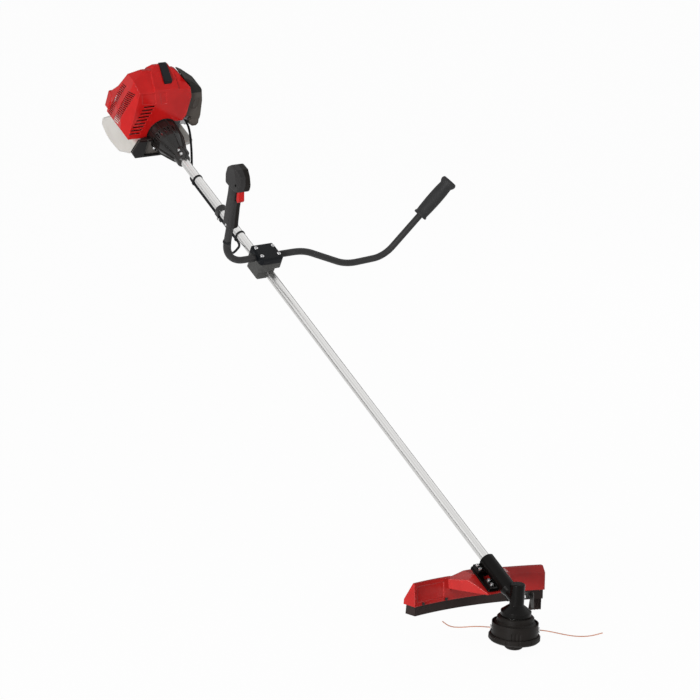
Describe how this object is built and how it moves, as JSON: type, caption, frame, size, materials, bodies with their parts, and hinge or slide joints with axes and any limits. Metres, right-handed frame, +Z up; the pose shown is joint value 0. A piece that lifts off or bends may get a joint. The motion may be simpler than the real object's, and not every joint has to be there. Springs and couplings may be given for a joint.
{
  "type": "petrol string trimmer",
  "caption": "Petrol brushcutter with a straight shaft, wide bent handlebar, throttle grip, slotted engine cover, guard and bump-feed line head.",
  "frame": {"origin": "centre of the ground face of the bump knob, under the trimmer head", "axes": "+Z up along the head axis, +X forwards away from the engine, +Y the operator's left"},
  "size_m": [1.8776, 0.7663, 1.2146],
  "materials": {
    "red_plastic": "glossy moulded red",
    "red_control": "glossy moulded red",
    "black_plastic": "fine moulded grain",
    "grey_plastic": "satin moulded grey",
    "brown_plastic": "satin moulded brown grey",
    "black_metal": "black powder coat",
    "tube": "satin drawn tube",
    "cast": "as cast",
    "black_cast": "black painted casting",
    "steel": "zinc plated",
    "rubber": "moulded rubber",
    "line": "orange nylon line",
    "tank": "milky translucent",
    "paper": "pleated paper",
    "bulb": "soft clear bulb"
  },
  "bodies": {
    "frame": {"air_filter_base": "brown_plastic", "air_filter_cover": "black_plastic", "bearings": "steel", "cable_rings": "rubber", "carburettor": "cast", "clamp_bolts": "steel", "clutch_housing": "black_cast", "crankcase": "cast", "cylinder": "cast", "engine_cover": "red_plastic", "engine_stand": "black_plastic", "filter_element": "paper", "fuel_tank": "tank", "gear_case": "black_cast", "guard": "red_plastic", "guard_bracket": "steel", "guard_skirt": "rubber", "handle_clamp_base": "black_cast", "handle_clamp_cap": "black_cast", "handle_clamp_screws": "steel", "handlebar": "black_metal", "hanger_clamp": "black_metal", "left_grip": "rubber", "line_cutter": "steel", "muffler": "steel", "shaft_bushings": "rubber", "shaft_tube": "tube", "skirt_screws": "steel", "spark_plug": "steel", "spark_plug_boot": "rubber", "starter_housing": "black_plastic", "starter_rope": "black_plastic", "throttle_cable": "rubber", "throttle_shell_left": "black_plastic", "throttle_shell_right": "grey_plastic"},
    "head": {"head_housing": "black_plastic", "head_cover": "black_plastic", "line_eyelets": "steel", "receiver_flange": "steel", "output_spindle": "steel", "bevel_gear": "steel", "bump_spring": "steel", "line_end_left": "line", "line_end_right": "line"},
    "bump": {"bump_knob": "black_plastic"},
    "spool": {"spool": "black_plastic"},
    "drive": {"drive_shaft": "steel", "pinion": "steel", "clutch_drum": "steel"},
    "crank": {"crankshaft": "steel", "clutch_shoes": "steel", "flywheel": "cast"},
    "trigger": {"throttle_trigger": "red_control"},
    "lock": {"throttle_lock": "red_control"},
    "switch": {"stop_switch": "red_control"},
    "choke": {"choke_lever": "black_plastic"},
    "primer": {"primer_bulb": "bulb"},
    "cap": {"fuel_cap": "black_plastic"},
    "grip": {"starter_grip": "black_plastic"},
    "pulley": {"starter_pulley": "black_plastic"}
  },
  "joints": [
    {"name": "head_spin", "type": "hinge", "parent": "frame", "child": "head", "pos_m": [0, 0, 0.1], "axis": [0, 0, 1], "continuous": true},
    {"name": "bump_feed", "type": "slide", "parent": "head", "child": "bump", "axis": [0, 0, 1], "range_m": [0, 0.006], "stiffness_N_per_m": 1500, "springref_m": -0.006, "deforming": ["bump_spring"]},
    {"name": "spool_turn", "type": "hinge", "parent": "bump", "child": "spool", "pos_m": [0, 0, 0.04], "axis": [0, 0, 1], "continuous": true},
    {"name": "drive_spin", "type": "hinge", "parent": "frame", "child": "drive", "pos_m": [0, 0, 0.118], "axis": [-0.866, 0, 0.5], "continuous": true},
    {"name": "crank_spin", "type": "hinge", "parent": "frame", "child": "crank", "pos_m": [-1.59176, 0, 1.037], "axis": [-0.866, 0, 0.5], "continuous": true},
    {"name": "throttle_squeeze", "type": "hinge", "parent": "frame", "child": "trigger", "pos_m": [-0.95082, -0.16255, 0.96149], "axis": [0.0523, 0.9945, 0.0905], "range_deg": [0, 12], "stiffness_Nm_per_rad": 0.4, "springref_deg": -17.19},
    {"name": "lock_squeeze", "type": "hinge", "parent": "frame", "child": "lock", "pos_m": [-0.9755, -0.16227, 0.97262], "axis": [-0.0523, -0.9945, -0.0905], "range_deg": [0, 7], "stiffness_Nm_per_rad": 0.3, "springref_deg": -17.19},
    {"name": "stop_slide", "type": "slide", "parent": "frame", "child": "switch", "axis": [0.3393, -0.1029, 0.935], "range_m": [0, 0.006]},
    {"name": "choke_turn", "type": "hinge", "parent": "frame", "child": "choke", "pos_m": [-1.60737, 0.10678, 1.06594], "axis": [0.866, 0, -0.5], "range_deg": [0, 60]},
    {"name": "primer_press", "type": "slide", "parent": "frame", "child": "primer", "axis": [0.4973, -0.1045, 0.8613], "range_m": [0, 0.004], "stiffness_N_per_m": 600, "springref_m": -0.002},
    {"name": "cap_turn", "type": "hinge", "parent": "frame", "child": "cap", "pos_m": [-1.69043, 0.10829, 1.04209], "axis": [0.0523, 0.9945, 0.0905], "range_deg": [0, 270]},
    {"name": "starter_pull", "type": "slide", "parent": "frame", "child": "grip", "axis": [0.4973, -0.1045, 0.8613], "range_m": [0, 0.5], "stiffness_N_per_m": 20, "springref_m": -0.15, "deforming": ["starter_rope"]},
    {"name": "pulley_turn", "type": "hinge", "parent": "frame", "child": "pulley", "pos_m": [-1.68788, 0, 1.0925], "axis": [0.866, 0, -0.5], "range_deg": [0, 963]}
  ],
  "couplings": [
    {"joint": "drive_spin", "follows": "head_spin", "ratio": -1.3571},
    {"joint": "pulley_turn", "follows": "starter_pull", "rad_per_m": 33.557}
  ]
}
